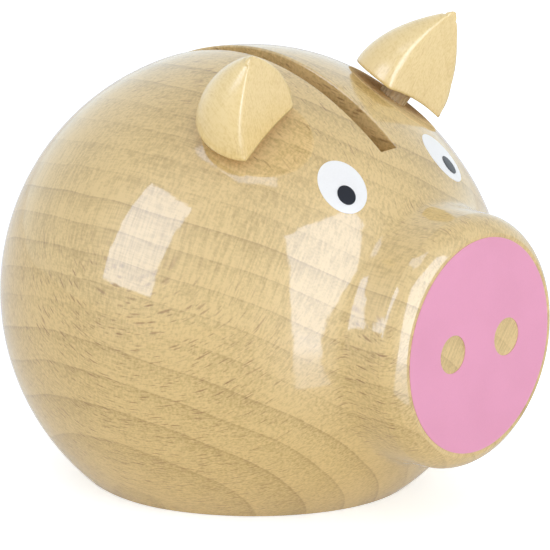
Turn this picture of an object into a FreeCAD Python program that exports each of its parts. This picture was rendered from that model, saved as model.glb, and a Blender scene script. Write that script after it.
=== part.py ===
import FreeCAD, Part
import math
import os

# A turned wooden pig money box. Millimetres, +Z up, the snout points along -Y.
# The origin is the middle of the outline on the surface that the box stands on.

# ---- turned body: lengths run along the turning axis, from the widest place towards the snout
BODY_RADIUS = 50.0
AXIS_HEIGHT = 36.9
BACK_REACH = 51.4
BACK_FULLNESS = 2.06
FRONT_REACH = 55.4
FRONT_FULLNESS = 1.77
SHOULDER_AT = 43.2
NECK_CURVE = ((44.4, 26.85), (45.4, 26.2), (46.4, 25.87), (47.6, 25.7), (50.5, 25.52))
SNOUT_RIM_START = (54.0, 25.35)
SNOUT_RIM_MIDDLE = (56.6, 24.25)
SNOUT_FACE_AT = 58.4
SNOUT_FACE_RADIUS = 22.25
SNOUT_TAPER = 0.05
BASE_EDGE_ROUND = 0.8

# ---- coin slot, sawn by plunging a blade from above
SLOT_WIDTH = 4.8
SAW_RADIUS = 60.0
SAW_CENTRE_AT = 1.0
SAW_CENTRE_ABOVE_AXIS = 84.5
SLOT_EDGE_ROUND = 0.4

# ---- coin room bored from below, and the step that takes the stopper's flange
ROOM_RADIUS = 23.0
ROOM_TOP_ABOVE_AXIS = 30.0
STEP_RADIUS = 26.0
STEP_DEPTH = 3.2

# ---- stopper
FIT_CLEARANCE = 0.05
FLANGE_CLEARANCE = 0.3
FLANGE_THICKNESS = 2.2
SKIRT_LENGTH = 11.0
SKIRT_WALL = 2.0
SKIRT_LEAD_IN = 0.8
GRIP_RADIUS = 10.0
GRIP_DEPTH = 8.0
GRIP_WALL = 1.6
GRIP_BAR_WIDTH = 4.0
GRIP_BAR_DEPTH = 3.0

# ---- flat seats milled for the ears: the lean of the seat's normal and its distance from the
# crossing of the turning axis and the widest section
SEAT_LEAN_OUT = 27.5
SEAT_LEAN_FORWARD = 23.5
SEAT_DISTANCE = 48.45
SEAT_CUTTER_RADIUS = 15.0

# ---- ears: a pointed dome with a hollowed foot, sliced flat in front
EAR_RADIUS = 10.1
EAR_HEIGHT = 18.2
EAR_FULLNESS = 1.86
EAR_SKIRT = 1.5
EAR_FOOT_HOLLOW_RADIUS = 55.0
EAR_SLICE_OFFSET = 4.9
EAR_SLICE_LEAN = 16.0
EAR_EDGE_EASE = 0.2
# side: (sideways, forward, above the axis) of the foot, lean out, lean forward, twist
EAR_PLACES = {
    "left": ((22.4, 19.9, 41.7), 29.5, 22.3, 0.0),
    "right": ((-22.5, 18.4, 42.8), -25.0, 24.0, 4.5),
}
EAR_SIZES = {"left": 1.04, "right": 1.0}

# ---- dowels that carry the ears
DOWEL_RADIUS = 3.0
DOWEL_GLUE_GAP = 0.05
DOWEL_IN_EAR = 7.0
DOWEL_IN_BODY = 11.0
DOWEL_CHAMFER = 0.6
DOWEL_BEHIND_EAR_AXIS = 0.3

# ---- paint, as films that lie on the wood
PAINT = 0.1
SNOUT_PAINT_RADIUS = 21.4
NOSTRIL_RADIUS = 3.8
NOSTRIL_OFFSET = 8.3
EYE_CENTRE = (15.3, 36.3, 31.1)
EYE_HALF_LENGTH = 5.9
EYE_HALF_WIDTH = 4.75
EYE_TURN = 65.0
PUPIL_SHIFT_OUT = 1.0
PUPIL_SHIFT_FORWARD = 1.75
PUPIL_HALF_LENGTH = 2.1
PUPIL_HALF_WIDTH = 1.8

# ---- derived places
WIDEST_Y = (SNOUT_FACE_AT + PAINT - BACK_REACH) / 2
SIDES = {"left": 1, "right": -1}
BIG = 200.0


def vec(x, y, z):
    return FreeCAD.Vector(x, y, z)


def place(sideways, forward, above):
    """A point given from the crossing of the turning axis and the widest section."""
    return vec(sideways, WIDEST_Y - forward, AXIS_HEIGHT + above)


def leaning(out, forward):
    """The upward direction leaned sideways and then towards the snout, in degrees."""
    out, forward = math.radians(out), math.radians(forward)
    return vec(math.sin(out) * math.cos(forward), -math.sin(forward),
               math.cos(out) * math.cos(forward))


def superellipse(reach, radius, fullness, angle):
    """Forward and radial place on a rounded end, at an angle in degrees from its pole."""
    angle = math.radians(angle)
    power = 2.0 / fullness
    return reach * math.cos(angle) ** power, radius * math.sin(angle) ** power


def turned(points, extra_edges_to):
    """Revolve a spline through the points, closed by the further edges and the axis."""
    stations = [place(0, forward, radius) for forward, radius in points]
    outline = Part.BSplineCurve()
    outline.interpolate(Points=stations, InitialTangent=vec(0, 0, 1),
                        FinalTangent=vec(0, -1, -SNOUT_TAPER))
    edges = [outline.toShape()] + extra_edges_to(stations)
    face = Part.Face(Part.Wire(edges))
    return face.revolve(place(0, 0, 0), vec(0, 1, 0), 360)


def body_outline(extra):
    """Forward and radial stations of the turned outline, grown outward by extra."""
    radius = BODY_RADIUS + extra
    points = []
    for step in range(9):
        forward, out = superellipse(BACK_REACH + extra, radius, BACK_FULLNESS, 90.0 * step / 9)
        points.append((-forward, out))
    shoulder = math.degrees(math.acos((SHOULDER_AT / FRONT_REACH) ** (FRONT_FULLNESS / 2)))
    for step in range(7):
        angle = 90.0 - (90.0 - shoulder) * step / 6
        points.append(superellipse(FRONT_REACH + extra, radius, FRONT_FULLNESS, angle))
    points += [(forward, out + extra) for forward, out in NECK_CURVE + (SNOUT_RIM_START,)]
    return points


def turned_solid(extra=0.0):
    def close_snout(stations):
        rim_middle = place(0, SNOUT_RIM_MIDDLE[0], SNOUT_RIM_MIDDLE[1] + extra)
        rim_end = place(0, SNOUT_FACE_AT, SNOUT_FACE_RADIUS)
        face_centre = place(0, SNOUT_FACE_AT, 0)
        return [Part.Arc(stations[-1], rim_middle, rim_end).toShape(),
                Part.LineSegment(rim_end, face_centre).toShape(),
                Part.LineSegment(face_centre, stations[0]).toShape()]
    return turned(body_outline(extra), close_snout)


def ear_frame(side):
    """Origin and axes of an ear: across, towards the front face, and along the ear."""
    foot, out, forward, twist = EAR_PLACES[side]
    along = leaning(out, forward)
    front = vec(0, -1, 0) - along * along.dot(vec(0, -1, 0))
    front.normalize()
    front = FreeCAD.Rotation(along, twist).multVec(front)
    return place(*foot), front.cross(along), front, along


def ear_placement(side):
    origin, across, front, along = ear_frame(side)
    matrix = FreeCAD.Matrix(across.x, front.x, along.x, origin.x,
                            across.y, front.y, along.y, origin.y,
                            across.z, front.z, along.z, origin.z,
                            0, 0, 0, 1)
    return FreeCAD.Placement(matrix)


def dowel_cylinder(radius, side, reach_in_body, reach_in_ear):
    shape = Part.makeCylinder(radius, reach_in_body + reach_in_ear,
                              vec(0, -DOWEL_BEHIND_EAR_AXIS, -reach_in_body))
    shape.Placement = ear_placement(side).multiply(shape.Placement)
    return shape


def slot_cutter():
    start = place(-SLOT_WIDTH / 2, SAW_CENTRE_AT, SAW_CENTRE_ABOVE_AXIS)
    return Part.makeCylinder(SAW_RADIUS, SLOT_WIDTH, start, vec(1, 0, 0))


def slot_edges(body):
    """The two long edges where the slot's sides meet the outside of the body."""
    crown = AXIS_HEIGHT + BODY_RADIUS - 1
    boxes = [(edge, edge.BoundBox) for edge in body.Edges]
    return [edge for edge, box in boxes
            if box.ZMax > crown and box.XLength < 0.01
            and abs(abs(box.XMin) - SLOT_WIDTH / 2) < 0.01]


def seat_cutter(side):
    normal = leaning(SIDES[side] * SEAT_LEAN_OUT, SEAT_LEAN_FORWARD)
    start = place(0, 0, 0) + normal * SEAT_DISTANCE
    return Part.makeCylinder(SEAT_CUTTER_RADIUS, BODY_RADIUS, start, normal)


def make_body():
    body = turned_solid()
    body = body.cut(Part.makeBox(BIG, BIG, BIG, vec(-BIG / 2, -BIG / 2, -BIG)))
    rim = [edge for edge in body.Edges if abs(edge.BoundBox.ZMax) < 1e-4]
    body = body.makeFillet(BASE_EDGE_ROUND, rim)
    room_base = vec(0, WIDEST_Y, 0)
    room = Part.makeCylinder(ROOM_RADIUS, AXIS_HEIGHT + ROOM_TOP_ABOVE_AXIS, room_base)
    step = Part.makeCylinder(STEP_RADIUS, STEP_DEPTH, room_base)
    for cutter in (slot_cutter(), room, step):
        body = body.cut(cutter)
    body = body.makeFillet(SLOT_EDGE_ROUND, slot_edges(body))
    for side in SIDES:
        body = body.cut(seat_cutter(side))
        body = body.cut(dowel_cylinder(DOWEL_RADIUS + DOWEL_GLUE_GAP, side, DOWEL_IN_BODY, 0))
    return body


def make_ear(side):
    size = EAR_SIZES[side]
    points = []
    for step in range(9):
        rise = math.sin(math.radians(90.0 * step / 8))
        radius = EAR_RADIUS * size * (1 - rise ** EAR_FULLNESS)
        points.append(vec(0, radius, EAR_HEIGHT * size * rise))
    flank = Part.BSplineCurve()
    flank.interpolate(Points=points)
    top, shoulder = points[-1], points[0]
    skirt_edge = vec(0, EAR_RADIUS * size, -EAR_SKIRT)
    bottom = vec(0, 0, -EAR_SKIRT)
    edges = [flank.toShape(),
             Part.LineSegment(top, bottom).toShape(),
             Part.LineSegment(bottom, skirt_edge).toShape(),
             Part.LineSegment(skirt_edge, shoulder).toShape()]
    ear = Part.Face(Part.Wire(edges)).revolve(vec(0, 0, 0), vec(0, 0, 1), 360)
    ear = ear.cut(Part.makeSphere(EAR_FOOT_HOLLOW_RADIUS, vec(0, 0, -EAR_FOOT_HOLLOW_RADIUS)))
    slice_box = Part.makeBox(BIG, BIG, BIG, vec(-BIG / 2, 0, -BIG / 2))
    slice_box.rotate(vec(0, 0, 0), vec(1, 0, 0), EAR_SLICE_LEAN)
    slice_box.translate(vec(0, EAR_SLICE_OFFSET * size, 0))
    ear = ear.cut(slice_box)
    flats = [face for face in ear.Faces if face.Surface.TypeId == "Part::GeomPlane"]
    ear = ear.makeChamfer(EAR_EDGE_EASE, flats[0].Edges)
    ear.Placement = ear_placement(side)
    hole = dowel_cylinder(DOWEL_RADIUS + DOWEL_GLUE_GAP, side, DOWEL_IN_BODY, DOWEL_IN_EAR)
    return ear.cut(hole)


def make_dowel(side):
    dowel = Part.makeCylinder(DOWEL_RADIUS, DOWEL_IN_BODY + DOWEL_IN_EAR,
                              vec(0, -DOWEL_BEHIND_EAR_AXIS, -DOWEL_IN_BODY))
    ends = [edge for edge in dowel.Edges if edge.Curve.TypeId == "Part::GeomCircle"]
    dowel = dowel.makeChamfer(DOWEL_CHAMFER, ends)
    dowel.Placement = ear_placement(side)
    return dowel


def make_stopper():
    flange_top = STEP_DEPTH
    flange_bottom = STEP_DEPTH - FLANGE_THICKNESS
    skirt_radius = ROOM_RADIUS - FIT_CLEARANCE
    centre = vec(0, WIDEST_Y, 0)

    def disc(radius, low, high):
        return Part.makeCylinder(radius, high - low, centre + vec(0, 0, low))

    skirt_top = flange_top + SKIRT_LENGTH
    skirt = disc(skirt_radius, flange_top, skirt_top)
    lip = [edge for edge in skirt.Edges if abs(edge.BoundBox.ZMin - skirt_top) < 1e-4]
    skirt = skirt.makeChamfer(SKIRT_LEAD_IN, lip)
    skirt = skirt.cut(disc(skirt_radius - SKIRT_WALL, flange_top, skirt_top))
    flange = disc(STEP_RADIUS - FLANGE_CLEARANCE, flange_bottom, flange_top)
    flange = flange.makeFillet(FLANGE_THICKNESS / 4, [
        edge for edge in flange.Edges if abs(edge.BoundBox.ZMax - flange_bottom) < 1e-4])
    grip_roof = flange_bottom + GRIP_DEPTH
    cup = disc(GRIP_RADIUS + GRIP_WALL, flange_bottom, grip_roof + GRIP_WALL)
    stopper = flange.fuse(skirt).fuse(cup)
    stopper = stopper.cut(disc(GRIP_RADIUS, flange_bottom, grip_roof))
    bar = Part.makeBox(GRIP_BAR_WIDTH, 2 * GRIP_RADIUS + GRIP_WALL, GRIP_BAR_DEPTH,
                       vec(-GRIP_BAR_WIDTH / 2, WIDEST_Y - GRIP_RADIUS - GRIP_WALL / 2, flange_bottom))
    return stopper.fuse(bar).removeSplitter()


def make_snout_paint():
    start = place(0, SNOUT_FACE_AT, 0)
    forward = vec(0, -1, 0)
    paint = Part.makeCylinder(SNOUT_PAINT_RADIUS, PAINT, start, forward)
    for side in SIDES.values():
        hole = place(side * NOSTRIL_OFFSET, SNOUT_FACE_AT, 0)
        paint = paint.cut(Part.makeCylinder(NOSTRIL_RADIUS, PAINT, hole, forward))
    return paint


def eye_frame(side):
    """Centre on the wood, outward normal, and the outboard and forward directions there."""
    sideways, forward, above = EYE_CENTRE
    radius = math.hypot(sideways, above)
    steepness = (radius / BODY_RADIUS) ** (FRONT_FULLNESS - 1) / BODY_RADIUS
    slope = (forward / FRONT_REACH) ** (FRONT_FULLNESS - 1) / FRONT_REACH
    normal = vec(sideways / radius * steepness, -slope, above / radius * steepness)
    normal.normalize()
    outboard = vec(above / radius, 0, -sideways / radius)
    ahead = normal.cross(outboard)
    if ahead.y > 0:
        ahead = ahead * -1
    flip = SIDES[side]
    centre = place(flip * sideways, forward, above)
    return [centre] + [vec(flip * v.x, v.y, v.z) for v in (normal, outboard, ahead)]


def paint_oval(side, shift_out, shift_ahead, half_length, half_width, layer):
    """One layer of oval paint, its thickness taken from the turned outline grown outward."""
    centre, normal, outboard, ahead = eye_frame(side)
    centre = centre + outboard * shift_out + ahead * shift_ahead
    turn = math.radians(EYE_TURN)
    long_way = outboard * math.cos(turn) + ahead * math.sin(turn)
    short_way = normal.cross(long_way)
    start = centre - normal * half_length
    oval = Part.Ellipse(start + long_way * half_length, start + short_way * half_width, start)
    prism = Part.Face(Part.Wire([oval.toShape()])).extrude(normal * (3 * half_length))
    outer = turned_solid(layer * PAINT)
    inner = turned_solid((layer - 1) * PAINT)
    return outer.common(prism).cut(inner)


def make_eye_white(side):
    return paint_oval(side, 0, 0, EYE_HALF_LENGTH, EYE_HALF_WIDTH, 1)


def make_pupil(side):
    return paint_oval(side, PUPIL_SHIFT_OUT, PUPIL_SHIFT_FORWARD, PUPIL_HALF_LENGTH,
                      PUPIL_HALF_WIDTH, 2)


parts = {"body": make_body(), "stopper": make_stopper(), "snout_paint": make_snout_paint()}
for side in SIDES:
    parts["ear_" + side] = make_ear(side)
    parts["ear_dowel_" + side] = make_dowel(side)
    parts["eye_white_" + side] = make_eye_white(side)
    parts["pupil_" + side] = make_pupil(side)

os.makedirs("parts", exist_ok=True)
for name, shape in parts.items():
    if len(shape.Solids) == 1:
        shape = shape.Solids[0]
    shape.exportStep("parts/" + name + ".step")
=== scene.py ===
import math

import bmesh
import bpy
from mathutils import Matrix, Vector


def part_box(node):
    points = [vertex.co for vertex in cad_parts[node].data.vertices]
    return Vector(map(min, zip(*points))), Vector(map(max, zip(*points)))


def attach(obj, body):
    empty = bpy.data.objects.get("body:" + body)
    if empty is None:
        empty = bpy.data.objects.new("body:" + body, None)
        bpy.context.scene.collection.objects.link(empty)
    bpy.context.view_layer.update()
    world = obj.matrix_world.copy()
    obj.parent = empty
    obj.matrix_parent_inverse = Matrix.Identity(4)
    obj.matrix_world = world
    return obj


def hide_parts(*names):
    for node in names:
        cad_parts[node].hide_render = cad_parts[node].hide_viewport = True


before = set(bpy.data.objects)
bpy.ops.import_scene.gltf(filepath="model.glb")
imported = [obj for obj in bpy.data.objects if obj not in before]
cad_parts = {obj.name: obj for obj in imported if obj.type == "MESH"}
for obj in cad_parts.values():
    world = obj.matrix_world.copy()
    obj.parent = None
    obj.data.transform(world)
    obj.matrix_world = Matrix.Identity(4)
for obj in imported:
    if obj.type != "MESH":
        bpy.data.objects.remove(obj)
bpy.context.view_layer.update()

# ---------------------------------------------------------------- body
# One block of beech, turned to a ball with a snout on the end of its fibre, cut flat below,
# sawn for the coins and milled for the ears. It is sprayed outside with clear gloss lacquer;
# the saw cut, the coin room, the seats for the ears and the flat underneath stay bare.

BODY_RADIUS = 0.050
BACK_REACH = 0.0514
FRONT_REACH = 0.0554
BACK_FULLNESS = 2.06
FRONT_FULLNESS = 1.77
# the seats' lean in degrees, and their distance from the middle of the ball
SEAT_LEAN_OUT = 27.5
SEAT_LEAN_FORWARD = 23.5
SEAT_DISTANCE = 0.04845
body_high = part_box("body")[1]
CENTRE = Vector((0, body_high.y - BACK_REACH, body_high.z - BODY_RADIUS))
MM = 1000.0

# sizes in the wood in millimetres: round its heart, along its fibre, outward from its heart
BROAD_RAY = (0.38, 4.6, 6.5)
MIDDLING_RAY = (0.28, 2.4, 4.5)
NARROW_RAY = (0.38, 0.55, 7.0)
THREAD = (0.30, 4.5, 0.42)
# the whole swing of the bends in its rings, in millimetres
RING_BEND = 5.0
# how far each moves the tone from pale to deep, and how strongly each mark takes the ray tint
LATE_TONE = 0.66
PATCH_TONE = 0.34
THREAD_TONE = 0.26
NARROW_TONE = 0.32
RING_LINE_MARK = 0.20
RAY_MARK = 0.8
MIDDLING_SHARE = 0.75
# bare wood is less yellow and duller than lacquered wood; this tint also lightens it, as painted light
# against the shade in the saw cut and under the ears
BARE_TINT_AND_PAINTED_LIGHT = (1.08, 1.10, 1.26)
WOOD_ROUGHNESS = 0.5
BARE_ROUGHER = 0.35


def add(tree, kind, wires=None, **settings):
    """A new shader node. Wires fill its inputs, by name or number, with values or outputs."""
    made = tree.nodes.new("ShaderNode" + kind)
    for name, value in settings.items():
        setattr(made, name, value)
    for name, value in (wires or {}).items():
        if isinstance(value, bpy.types.NodeSocket):
            tree.links.new(value, made.inputs[name])
        else:
            made.inputs[name].default_value = value
    return made


def sums(tree, operation, *values):
    return add(tree, "Math", dict(enumerate(values)), operation=operation).outputs[0]


def fade(tree, value, start, end, low=0.0, high=1.0):
    """Low before start, high after end, and smooth between."""
    wires = {"Value": value, "From Min": start, "From Max": end, "To Min": low, "To Max": high}
    return add(tree, "MapRange", wires, interpolation_type="SMOOTHSTEP").outputs["Result"]


def blended(tree, amount, first, second, mode="MIX"):
    mix = add(tree, "Mix", {0: amount}, data_type="RGBA", blend_type=mode)
    for socket, value in ((6, first), (7, second)):
        if isinstance(value, bpy.types.NodeSocket):
            tree.links.new(value, mix.inputs[socket])
        else:
            mix.inputs[socket].default_value = (*value, 1)
    return mix.outputs[2]


def new_finish(name):
    """A new material, with its node tree and its main shader."""
    material = bpy.data.materials.new(name)
    material.use_nodes = True
    tree = material.node_tree
    return material, tree, tree.nodes["Principled BSDF"]


def leaning(out, ahead):
    """An upward direction, leant out to the pig's left and ahead to its snout by degrees."""
    out, ahead = math.radians(out), math.radians(ahead)
    return Vector((math.sin(out) * math.cos(ahead), -math.sin(ahead), math.cos(out) * math.cos(ahead)))


def along(tree, place, direction):
    """How far a place lies along a direction, in millimetres."""
    wires = {0: place, 1: Vector(direction) * MM}
    return add(tree, "VectorMath", wires, operation="DOT_PRODUCT").outputs["Value"]


def grain(tree, around, fibre, outward, cell):
    """A place in the wood, squeezed along its three directions to the size of one cell."""
    sides = [sums(tree, "DIVIDE", value, size) for value, size in zip((around, fibre, outward), cell)]
    return add(tree, "CombineXYZ", dict(enumerate(sides))).outputs[0]


def rays(tree, place, full, gone):
    """Wood rays: thin plates on edge round the heart, each of its own size and strength."""
    cells = add(tree, "TexVoronoi", {"Vector": place, "Scale": 1.0, "Randomness": 1.0})
    split = add(tree, "SeparateColor", {0: cells.outputs["Color"]})
    size = sums(tree, "MULTIPLY_ADD", split.outputs[1], 0.5, 0.7)
    shape = fade(tree, sums(tree, "DIVIDE", cells.outputs["Distance"], size), full, gone, 1.0, 0.0)
    return sums(tree, "MULTIPLY", shape, fade(tree, split.outputs[0], 0.0, 0.8, 0.2, 1.0))


def wood(name, centre, fibre, outward, heart, ring_gap, pale, deep, ray_tint, gloss,
         ring=1.0, ray=1.0, coat=1.0, bare=None):
    """Solid wood. The rings turn about a heart that lies a distance behind the centre."""
    material, tree, shader = new_finish(name)
    fibre = Vector(fibre).normalized()
    outward = Vector(outward)
    outward = (outward - fibre * outward.dot(fibre)).normalized()
    tangent = outward.cross(fibre)
    spot = add(tree, "TexCoord")
    place = add(tree, "VectorMath", {0: spot.outputs["Object"], 1: centre}, operation="SUBTRACT").outputs[0]

    # slow waves bend the rings and the fibre
    wave = add(tree, "TexNoise", {"Vector": place, "Scale": 24.0, "Detail": 2.0, "Roughness": 0.45})
    bends = add(tree, "SeparateColor", {0: wave.outputs["Color"]})
    shift = [sums(tree, "MULTIPLY_ADD", bends.outputs[i], RING_BEND, -RING_BEND / 2) for i in range(2)]
    side = sums(tree, "ADD", along(tree, place, tangent), shift[0])
    out = sums(tree, "ADD", sums(tree, "ADD", along(tree, place, outward), heart), shift[1])
    length = along(tree, place, fibre)
    radius = sums(tree, "SQRT", sums(tree, "MULTIPLY_ADD", side, side, sums(tree, "MULTIPLY", out, out)))
    around = sums(tree, "MULTIPLY", sums(tree, "ARCTAN2", side, out), heart)

    # growth rings: tone deepens outward, ends in a fine line, and starts pale again
    rings = sums(tree, "DIVIDE", radius, ring_gap)
    number = sums(tree, "FLOOR", rings)
    part = sums(tree, "FRACT", rings)
    chance = add(tree, "TexWhiteNoise", {"W": number}, noise_dimensions="1D").outputs["Value"]
    late = sums(tree, "MULTIPLY", sums(tree, "POWER", part, 1.7), fade(tree, chance, 0.0, 1.0, 0.45, 1.0))
    late = sums(tree, "MULTIPLY", late, fade(tree, part, 0.96, 1.0, 1.0, 0.0))
    line = sums(tree, "MULTIPLY", fade(tree, part, 0.88, 0.96), fade(tree, part, 0.96, 1.0, 1.0, 0.0))
    line = sums(tree, "MULTIPLY", line, fade(tree, chance, 0.2, 0.9, 0.25, 1.0))

    # broad rays are dark on edge, and hardly show where the wood is cut along them or across its fibre
    on_edge = 1.0
    for axis, start, end, low, high in ((outward, 0.15, 0.50, 0.10, 1.0), (fibre, 0.35, 0.75, 1.0, 0.2)):
        facing = add(tree, "VectorMath", {0: spot.outputs["Normal"], 1: axis}, operation="DOT_PRODUCT")
        facing = sums(tree, "ABSOLUTE", facing.outputs["Value"])
        on_edge = sums(tree, "MULTIPLY", on_edge, fade(tree, facing, start, end, low, high))
    broad = rays(tree, grain(tree, around, length, radius, BROAD_RAY), 0.12, 0.36)
    middling = rays(tree, grain(tree, around, length, radius, MIDDLING_RAY), 0.10, 0.38)
    dark = sums(tree, "MULTIPLY", sums(tree, "MULTIPLY_ADD", middling, MIDDLING_SHARE, broad), on_edge)

    # narrow rays, fibre, and slow drifts of tone
    narrow = grain(tree, around, length, radius, NARROW_RAY)
    narrow = add(tree, "TexNoise", {"Vector": narrow, "Scale": 1.0, "Detail": 2.0}).outputs["Fac"]
    threads = grain(tree, around, length, radius, THREAD)
    threads = add(tree, "TexNoise", {"Vector": threads, "Scale": 1.0, "Detail": 3.0}).outputs["Fac"]
    patches = add(tree, "TexNoise", {"Vector": place, "Scale": 60.0, "Detail": 3.0}).outputs["Fac"]

    drift = fade(tree, patches, 0.3, 0.7, 0.0, PATCH_TONE)
    tone = sums(tree, "MULTIPLY_ADD", late, LATE_TONE * ring, drift)
    tone = sums(tree, "ADD", tone, fade(tree, threads, 0.28, 0.72, -THREAD_TONE, THREAD_TONE))
    tone = sums(tree, "ADD", tone, fade(tree, narrow, 0.28, 0.72, -NARROW_TONE, NARROW_TONE))
    colour = blended(tree, tone, pale, deep)
    flecks = sums(tree, "MULTIPLY", dark, RAY_MARK * ray)
    marks = sums(tree, "MULTIPLY_ADD", line, RING_LINE_MARK * ring, flecks)
    marks = sums(tree, "MINIMUM", marks, 1.0)
    colour = blended(tree, marks, colour, ray_tint, "MULTIPLY")

    # the rays sink a little, and the lacquer over them follows the fibre faintly
    sunk = add(tree, "Bump", {"Strength": 0.3, "Distance": 0.00006, "Height": marks}, invert=True)
    ripple = add(tree, "TexNoise", {"Vector": place, "Scale": 170.0, "Detail": 1.0}).outputs["Fac"]
    film = sums(tree, "MULTIPLY_ADD", threads, 0.12, ripple)
    film = sums(tree, "MULTIPLY_ADD", narrow, 0.10, film)
    skin = add(tree, "Bump", {"Strength": 0.12, "Distance": 0.0003, "Height": film})
    shader.inputs["Coat Roughness"].default_value = gloss
    shader.inputs["Coat IOR"].default_value = 1.55
    shader.inputs["Coat Weight"].default_value = coat
    shader.inputs["Roughness"].default_value = WOOD_ROUGHNESS
    if bare:
        inside = bare(tree, place)
        # bare faces take a less yellow tint that also lightens them: painted light against the shade in the
        # saw cut and on the seats under the ears
        colour = blended(tree, inside, colour, BARE_TINT_AND_PAINTED_LIGHT, "MULTIPLY")
        dull = sums(tree, "MULTIPLY_ADD", inside, BARE_ROUGHER, WOOD_ROUGHNESS)
        tree.links.new(sums(tree, "SUBTRACT", 1.0, inside), shader.inputs["Coat Weight"])
        tree.links.new(dull, shader.inputs["Roughness"])
    tree.links.new(colour, shader.inputs["Base Color"])
    tree.links.new(sunk.outputs[0], shader.inputs["Normal"])
    tree.links.new(skin.outputs[0], shader.inputs["Coat Normal"])
    return material


def under_the_skin(tree, place):
    """1 on the faces that are cut deeper than the turned outside, and 0 on the outside."""
    forward = along(tree, place, (0, -1, 0))
    across = along(tree, place, (1, 0, 0))
    up = along(tree, place, (0, 0, 1))
    around = sums(tree, "SQRT", sums(tree, "MULTIPLY_ADD", across, across, sums(tree, "MULTIPLY", up, up)))
    reaches = []
    for reach, fullness in ((FRONT_REACH, FRONT_FULLNESS), (BACK_REACH, BACK_FULLNESS)):
        length = sums(tree, "DIVIDE", sums(tree, "ABSOLUTE", forward), reach * MM)
        width = sums(tree, "DIVIDE", around, BODY_RADIUS * MM)
        reaches.append(sums(tree, "ADD", sums(tree, "POWER", length, fullness),
                            sums(tree, "POWER", width, fullness)))
    ahead = sums(tree, "GREATER_THAN", forward, 0.0)
    depth = sums(tree, "ADD", sums(tree, "MULTIPLY", ahead, reaches[0]),
                 sums(tree, "MULTIPLY", sums(tree, "SUBTRACT", 1.0, ahead), reaches[1]))
    deeper = fade(tree, depth, 0.983, 0.993, 1.0, 0.0)
    # a seat is shallow at its rim, so the whole of its plane counts as cut
    for side in (-1, 1):
        height = along(tree, place, leaning(side * SEAT_LEAN_OUT, SEAT_LEAN_FORWARD))
        on_seat = fade(tree, height, SEAT_DISTANCE * MM - 0.06, SEAT_DISTANCE * MM - 0.03)
        deeper = sums(tree, "MAXIMUM", deeper, on_seat)
    return deeper


BEECH_FIBRE = (0.15, -1.0, -0.11)
BEECH_OUTWARD = (0.67, 0.0, 0.74)
beech = wood("lacquered_beech", CENTRE, BEECH_FIBRE, BEECH_OUTWARD, heart=205.5, ring_gap=5.37,
             pale=(0.70, 0.492, 0.178), deep=(0.468, 0.31, 0.082), ray_tint=(0.50, 0.37, 0.22),
             gloss=0.035, bare=under_the_skin)
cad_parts["body"].material_slots[0].material = beech

# ---------------------------------------------------------------- ears
# Two pointed domes of a paler, yellower wood, turned with the fibre up the ear, sliced flat in
# front on a sanding disc and hollowed a little at the foot. Satin lacquer, softened edges.

EAR_RADIUS = 10.1
EAR_HEIGHT = 18.2
EAR_TOP = 17.75
EAR_FULLNESS = 1.86
EAR_FOOT_HOLLOW = 55.0
EAR_SLICE_OFFSET = 4.9
EAR_SLICE_LEAN = math.radians(16.0)
EAR_TIP_ROUND = 1.5
EAR_EDGE_SOFTNESS = 0.4
EAR_FOOT_RINGS = (0.35, 0.7, 0.93)
EAR_RIM_ROUND = 0.985
EAR_TIP_GAP = 0.02
# how far from the middle of the ball sideways, forward and up, then lean out, lean forward, twist
EAR_PLACES = {
    "left": ((22.4, 19.9, 41.7), 29.5, 22.3, 0.0),
    "right": ((-22.5, 18.4, 42.8), -25.0, 24.0, 4.5),
}
# each ear's size beside the one that the values above give
EAR_SIZES = {"left": 1.04, "right": 1.0}
ROWS = 56
COLUMNS = 96


def ear_matrix(side):
    """From an ear's own millimetres (across, front, along) to its place on the body."""
    (sideways, forward, above), out, ahead, twist = EAR_PLACES[side]
    up = leaning(out, ahead)
    front = Vector((0, -1, 0))
    front = (front - up * up.dot(front)).normalized()
    front = Matrix.Rotation(math.radians(twist), 3, up) @ front
    across = front.cross(up)
    turn = Matrix((across, front, up)).transposed().to_4x4()
    foot = CENTRE + Vector((sideways, -forward, above)) / MM
    return Matrix.Translation(foot) @ turn @ Matrix.Diagonal((1 / MM, 1 / MM, 1 / MM, 1))


def ear_section(height, angle):
    """A point of the ear's outline at a height: a circle with its front sliced off."""
    radius = EAR_RADIUS * (1 - (max(height, 0) / EAR_HEIGHT) ** EAR_FULLNESS)
    below_top = max(EAR_TOP - height, 0)
    if below_top < EAR_TIP_ROUND:
        radius = min(radius, math.sqrt(below_top * (2 * EAR_TIP_ROUND - below_top)))
    flat = EAR_SLICE_OFFSET - height * math.tan(EAR_SLICE_LEAN)
    flat = max(flat, -0.5 * radius)
    middle = (flat - radius) / 2
    x, y = math.cos(angle), math.sin(angle)
    reach = math.sqrt(radius ** 2 - (middle * x) ** 2) - middle * y
    if y > 0:
        cut = (flat - middle) / y
        softness = min(EAR_EDGE_SOFTNESS, 0.5 * radius) + 1e-9
        overlap = max(softness - abs(reach - cut), 0) / softness
        reach = min(reach, cut) - overlap ** 2 * softness / 4
    return reach * x, middle + reach * y


def foot_height(x, y):
    return -(x * x + y * y) / (2 * EAR_FOOT_HOLLOW)


def put(name, thing):
    """A new object, placed in the scene, for a mesh, a lamp or a camera."""
    made = bpy.data.objects.new(name, thing)
    bpy.context.scene.collection.objects.link(made)
    return made


def skin_rows(rows, name):
    """A closed skin over rings of points, from the point at its foot to the point at its top."""
    mesh = bpy.data.meshes.new(name)
    shape = bmesh.new()
    rings = [[shape.verts.new(point) for point in row] for row in rows]
    for low, high in zip(rings, rings[1:]):
        for i in range(max(len(low), len(high))):
            j = i + 1
            corners = [low[i % len(low)], low[j % len(low)], high[j % len(high)], high[i % len(high)]]
            shape.faces.new(list(dict.fromkeys(corners)))
    bmesh.ops.recalc_face_normals(shape, faces=shape.faces)
    shape.to_mesh(mesh)
    shape.free()
    mesh.shade_smooth()
    return put(name, mesh)


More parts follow.
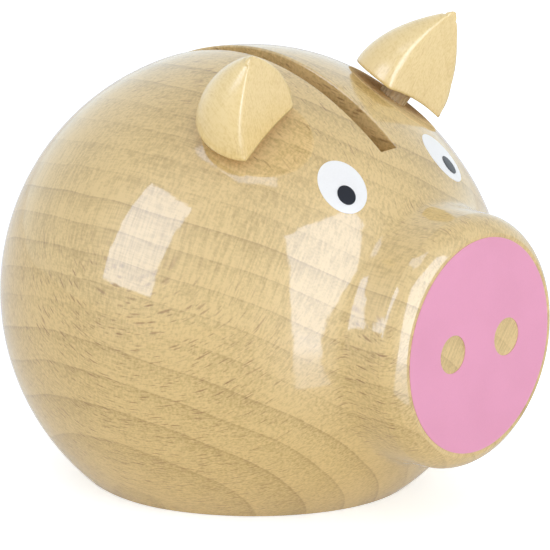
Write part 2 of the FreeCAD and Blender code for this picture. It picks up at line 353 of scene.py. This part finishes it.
def make_ear(side):
    angles = [math.tau * i / COLUMNS for i in range(COLUMNS)]
    # the rim is where the hollow foot meets the outside, found by a few steps towards it
    rim = []
    for angle in angles:
        height = 0.0
        for _ in range(4):
            height = foot_height(*ear_section(height, angle))
        rim.append(height)
    rows = [[(0, 0, 0)]]
    for inset in EAR_FOOT_RINGS:
        row = []
        for angle, height in zip(angles, rim):
            x, y = ear_section(height, angle)
            row.append((x * inset, y * inset, foot_height(x * inset, y * inset)))
        rows.append(row)
    for step in range(ROWS + 1):
        climb = math.sin(math.pi / 2 * step / ROWS)
        row = []
        for angle, height in zip(angles, rim):
            z = height + (EAR_TOP - EAR_TIP_GAP - height) * climb
            x, y = ear_section(z, angle)
            inset = EAR_RIM_ROUND if step == 0 else 1.0
            row.append((x * inset, y * inset, z))
        rows.append(row)
    rows.append([(0, rows[-1][0][1], EAR_TOP)])
    ear = skin_rows(rows, "turned_ear_" + side)
    matrix = ear_matrix(side)
    ear.data.transform(matrix @ Matrix.Scale(EAR_SIZES[side], 4))
    ear.data.update()
    turn = matrix.to_3x3() * MM
    ear.data.materials.append(wood(
        "ear_wood_" + side, matrix.translation, turn @ Vector((0.05, 0.1, 1)), turn @ Vector((0.4, 1, 0)),
        heart=60.0, ring_gap=5.5, pale=(0.85, 0.645, 0.28), deep=(0.715, 0.508, 0.175),
        ray_tint=(0.72, 0.60, 0.45), gloss=0.19, ring=0.3, ray=0.45, coat=0.85))
    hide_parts("ear_" + side)
    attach(ear, "box")


for side in EAR_PLACES:
    make_ear(side)

# ---------------------------------------------------------------- ear dowels
# Fluted beech dowels, 6 mm, glued into a hole in the seat and a hole in the ear. A short
# stretch shows in the gap under each ear.

DOWEL_RADIUS = 3.0
DOWEL_FLUTES = 16
POINTS_PER_FLUTE = 8
DOWEL_FLUTE_DEPTH = 0.22
DOWEL_IN_EAR = 7.0
DOWEL_IN_BODY = 11.0
DOWEL_CHAMFER = 0.6
DOWEL_BEHIND_EAR_AXIS = 0.3
DOWEL_ROWS = 9
DOWEL_ROW_GAP = 1.5
DOWEL_FIRST_ROW = 2.0


def make_dowel(side):
    count = DOWEL_FLUTES * POINTS_PER_FLUTE
    heights = [-DOWEL_IN_BODY, -DOWEL_IN_BODY + DOWEL_CHAMFER]
    heights += [-DOWEL_IN_BODY + DOWEL_FIRST_ROW + DOWEL_ROW_GAP * i for i in range(DOWEL_ROWS)]
    heights += [DOWEL_IN_EAR - DOWEL_CHAMFER, DOWEL_IN_EAR]
    rows = [[(0, -DOWEL_BEHIND_EAR_AXIS, heights[0])]]
    for z in heights:
        end = z in (heights[0], heights[-1])
        row = []
        for i in range(count):
            angle = math.tau * i / count
            flute = max(math.cos(angle * DOWEL_FLUTES), 0) ** 2 * DOWEL_FLUTE_DEPTH
            radius = DOWEL_RADIUS - flute - (DOWEL_CHAMFER if end else 0)
            row.append((radius * math.cos(angle), radius * math.sin(angle) - DOWEL_BEHIND_EAR_AXIS, z))
        rows.append(row)
    rows.append([(0, -DOWEL_BEHIND_EAR_AXIS, heights[-1])])
    dowel = skin_rows(rows, "fluted_dowel_" + side)
    matrix = ear_matrix(side)
    dowel.data.transform(matrix)
    dowel.data.update()
    turn = matrix.to_3x3() * MM
    dowel.data.materials.append(wood(
        "dowel_wood_" + side, matrix.translation, turn @ Vector((0, 0, 1)), turn @ Vector((0, 1, 0)),
        heart=30.0, ring_gap=3.0, pale=(0.58, 0.42, 0.19), deep=(0.42, 0.28, 0.10),
        ray_tint=(0.6, 0.48, 0.35), gloss=0.5, coat=0.0))
    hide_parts("ear_dowel_" + side)
    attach(dowel, "box")


for side in EAR_PLACES:
    make_dowel(side)

# ---------------------------------------------------------------- paint
# The pink of the snout and the two-colour eyes are printed on over a first coat of lacquer:
# flat, even colour with a slight orange-peel. The pink is satin and the eyes are glossy.

PAINT_SHADE = 0.955
SPECK_SHARE = 0.4
BLACK_IOR = 1.36


def paint(name, colour, gloss, peel):
    material, tree, shader = new_finish(name)
    here = add(tree, "TexCoord").outputs["Object"]
    drift = add(tree, "TexNoise", {"Vector": here, "Scale": 120.0, "Detail": 4.0}).outputs["Fac"]
    speck = add(tree, "TexNoise", {"Vector": here, "Scale": 2600.0, "Detail": 2.0}).outputs["Fac"]
    change = sums(tree, "MULTIPLY", drift, 1 - SPECK_SHARE)
    change = sums(tree, "MULTIPLY_ADD", speck, SPECK_SHARE, change)
    shade = tuple(PAINT_SHADE * part for part in colour)
    tree.links.new(blended(tree, fade(tree, change, 0.3, 0.7), shade, colour), shader.inputs["Base Color"])
    skin = add(tree, "Bump", {"Strength": peel, "Distance": 0.0002, "Height": change})
    tree.links.new(skin.outputs[0], shader.inputs["Normal"])
    tree.links.new(fade(tree, drift, 0.3, 0.7, gloss * 0.9, gloss * 1.1), shader.inputs["Roughness"])
    return material


pink = paint("snout_pink", (0.785, 0.320, 0.470), 0.38, 0.08)
white = paint("eye_white", (0.93, 0.94, 0.955), 0.12, 0.05)
black = paint("pupil_black", (0.009, 0.010, 0.018), 0.15, 0.05)
black.node_tree.nodes["Principled BSDF"].inputs["IOR"].default_value = BLACK_IOR
finishes = {"snout_paint": pink, "eye_white_left": white, "eye_white_right": white,
            "pupil_left": black, "pupil_right": black}
for node_name, finish in finishes.items():
    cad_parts[node_name].material_slots[0].material = finish

# ---------------------------------------------------------------- stopper
# A soft moulded plug in the step under the base, with a bar across its grip cup. Natural
# milky plastic, dull, with the faint skin of the mould.

plastic, tree, shader = new_finish("milky_plastic")
here = add(tree, "TexCoord").outputs["Object"]
skin = add(tree, "TexNoise", {"Vector": here, "Scale": 1500.0, "Detail": 3.0}).outputs["Fac"]
cloud = add(tree, "TexNoise", {"Vector": here, "Scale": 60.0, "Detail": 3.0}).outputs["Fac"]
tone = blended(tree, fade(tree, cloud, 0.3, 0.7), (0.80, 0.79, 0.74), (0.86, 0.855, 0.82))
tree.links.new(tone, shader.inputs["Base Color"])
tree.links.new(fade(tree, skin, 0.2, 0.8, 0.42, 0.58), shader.inputs["Roughness"])
mould = add(tree, "Bump", {"Strength": 0.3, "Distance": 0.00004, "Height": skin})
tree.links.new(mould.outputs[0], shader.inputs["Normal"])
shader.inputs["Subsurface Weight"].default_value = 0.15
shader.inputs["Subsurface Radius"].default_value = (0.002, 0.002, 0.0016)
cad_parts["stopper"].material_slots[0].material = plastic

# ---------------------------------------------------------------- table
# A white sweep: a sheet on the table and the backdrop that it runs into, both lit evenly. The
# board just under the sheet is a little greyer, and the pig takes its bounce light and its
# reflections from the board.

SHEET_RADIUS = 3.0
SHEET_POINTS = 128
SHEET_THICKNESS = 0.0005
SHEET_LIGHT = (0.95, 0.98, 1.0)
BACKDROP_RADIUS = 2.9
BACKDROP_LIGHT = (0.92, 1.0, 1.04)
BLACK = (0, 0, 0)


def glowing(name, colour, light, strength):
    """A material with one even colour and a light of its own."""
    material, _, shader = new_finish(name)
    shader.inputs["Base Color"].default_value = (*colour, 1)
    shader.inputs["Emission Color"].default_value = (*light, 1)
    shader.inputs["Emission Strength"].default_value = strength
    return material


def disc(name, height, colour, glow):
    """A flat round sheet with a little light of its own."""
    angles = [math.tau * i / SHEET_POINTS for i in range(SHEET_POINTS)]
    rim = [(SHEET_RADIUS * math.cos(angle), SHEET_RADIUS * math.sin(angle), height) for angle in angles]
    mesh = bpy.data.meshes.new(name)
    mesh.from_pydata(rim, [], [tuple(range(SHEET_POINTS))])
    material = glowing(name, colour, SHEET_LIGHT, glow)
    material.node_tree.nodes["Principled BSDF"].inputs["Roughness"].default_value = 0.7
    mesh.materials.append(material)
    made = put(name, mesh)
    return made


sheet = disc("white_sheet", 0.0, (0.82, 0.86, 0.93), 0.52)
sheet.visible_diffuse = sheet.visible_glossy = sheet.visible_shadow = False
board = disc("grey_board", -SHEET_THICKNESS, (0.80, 0.80, 0.82), 0.13)
board.visible_camera = False

backdrop_mesh = bpy.data.meshes.new("backdrop")
dome = bmesh.new()
bmesh.ops.create_icosphere(dome, subdivisions=4, radius=BACKDROP_RADIUS)
dome.to_mesh(backdrop_mesh)
dome.free()
backdrop_mesh.materials.append(glowing("white_backdrop", BLACK, BACKDROP_LIGHT, 1.12))
backdrop = put("backdrop", backdrop_mesh)
backdrop.visible_diffuse = backdrop.visible_shadow = False

# ---------------------------------------------------------------- light
# A soft tent all round. The lacquer mirrors tall panels at the pig's right side and in front
# of it, one overhead and a card low in front; wide soft lamps from two sides shape the wood.

PANEL_LIGHT = (0.80, 0.95, 1.25)
CARD_HEIGHT = 0.0005
# the line that the two halves of the low card share
CARD_FOLD = [(-0.192, -0.227), (-0.050, -0.290)]

world = bpy.data.worlds.new("white_tent")
world.use_nodes = True
world.node_tree.nodes["Background"].inputs["Color"].default_value = (1, 1, 1, 1)
world.node_tree.nodes["Background"].inputs["Strength"].default_value = 0.76
bpy.context.scene.world = world


def facing(azimuth, elevation):
    """A direction from the pig. Azimuth 0 is in front of the snout, 90 on its left."""
    azimuth, elevation = math.radians(azimuth), math.radians(elevation)
    return Vector((math.sin(azimuth) * math.cos(elevation), -math.cos(azimuth) * math.cos(elevation),
                   math.sin(elevation)))


def panel(name, corners, brightness, fade_to=None):
    """A flat lit sheet that only the lacquer mirrors. It may fade towards its last corners."""
    mesh = bpy.data.meshes.new(name)
    mesh.from_pydata(corners, [], [tuple(range(len(corners)))])
    material = glowing(name, BLACK, PANEL_LIGHT, brightness)
    if fade_to is not None:
        tree = material.node_tree
        shader = tree.nodes["Principled BSDF"]
        first, last = Vector(corners[0]), Vector(corners[-1])
        run = last - first
        here = add(tree, "TexCoord").outputs["Object"]
        way = add(tree, "VectorMath", {0: here, 1: run / run.length_squared}, operation="DOT_PRODUCT")
        start = first.dot(run) / run.length_squared
        glow = fade(tree, way.outputs["Value"], start, start + 1, brightness, fade_to)
        tree.links.new(glow, shader.inputs["Emission Strength"])
    mesh.materials.append(material)
    made = put(name, mesh)
    made.visible_camera = made.visible_diffuse = made.visible_shadow = False


def far_panel(name, outline, brightness):
    """A panel a metre from the pig, with corners given by their azimuth and elevation."""
    panel(name, [CENTRE + facing(*corner) for corner in outline], brightness)


def low_card(name, outline, brightness, fade_to=None):
    """A card lying on the table."""
    panel(name, [(x, y, CARD_HEIGHT) for x, y in outline], brightness, fade_to)


far_panel("side_panel", [(-120.6, 50), (-87.6, 48.6), (-93.7, 8.3), (-119.6, 10.5)], 5.0)
far_panel("front_panel", [(-41.7, 44), (-29.7, 47.4), (-19.2, 48), (-3.2, 49.1), (9, 49.8), (14, 44),
                          (26, 25), (26, -3), (-40, -3), (-38.8, 14), (-39.5, 31)], 5.0)
far_panel("top_panel", [(-130, 71.5), (-117, 70), (-65.6, 66), (-35, 67), (-3, 77.4), (-37, 80.5)], 3.4)
low_card("low_card_far", [(-1.65, -1.95), (0.30, -2.20), *reversed(CARD_FOLD)], 4.8)
low_card("low_card_near", [*CARD_FOLD, (-0.030, -0.092), (-0.065, -0.077)], 4.8, fade_to=2.2)


def soft_light(name, azimuth, elevation, distance, size, brightness):
    """A wide soft lamp for the wood itself, which the lacquer doesn't mirror."""
    light = bpy.data.lights.new(name, "AREA")
    light.size = size
    light.energy = brightness * math.pi * size * size
    lamp = put(name, light)
    direction = facing(azimuth, elevation)
    lamp.location = CENTRE + direction * distance
    lamp.rotation_euler = direction.to_track_quat("Z", "Y").to_euler()
    lamp.visible_camera = lamp.visible_glossy = False


soft_light("side_light", -104, 25, 1.0, 0.6, 0.77)
soft_light("front_light", -14, 12, 1.0, 0.8, 1.12)

# ---------------------------------------------------------------- camera
# A long lens, low at the pig's right front, a little above it.

AZIMUTH = -48.98
ELEVATION = 15.65
DISTANCE = 0.9198
LENS = 297.5
SENSOR = 36.0
AIM_RIGHT = 0.00434
AIM_UP = 0.00342
back = facing(AZIMUTH, ELEVATION)
right = facing(AZIMUTH + 90, 0)
up = back.cross(right)
camera = bpy.data.cameras.new("camera")
camera.lens = LENS
camera.sensor_width = SENSOR
camera.clip_start = 0.01
eye = put("camera", camera)
turn = Matrix((right, up, back)).transposed().to_4x4()
eye.matrix_world = Matrix.Translation(CENTRE + right * AIM_RIGHT + up * AIM_UP + back * DISTANCE) @ turn
bpy.context.scene.camera = eye
bpy.context.scene.view_settings.view_transform = "Standard"
